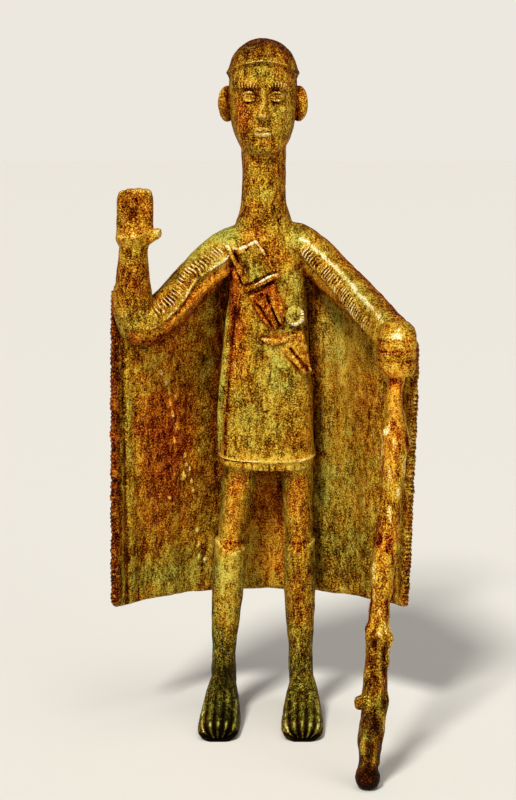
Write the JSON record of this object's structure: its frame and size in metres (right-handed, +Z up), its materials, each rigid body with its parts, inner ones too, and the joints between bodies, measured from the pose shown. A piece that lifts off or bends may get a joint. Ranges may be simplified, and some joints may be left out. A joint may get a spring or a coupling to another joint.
{
  "type": "bronze figurine",
  "caption": "Standing bronze figurine of a cloaked man with a raised hand, a long staff and a dagger on his chest.",
  "frame": {"origin": "middle of the bounding box's underside, on the plane that the two soles and the staff's tip stand on", "axes": "+Z up from the soles to the crown, +X towards the figure's own left hand and the staff, -Y the way it faces"},
  "size_m": [0.174, 0.1428, 0.39],
  "materials": {
    "bronze": "cast bronze with brown and green patina, satin on the ridges"
  },
  "bodies": {
    "root": {"figure": "bronze"}
  },
  "joints": []
}
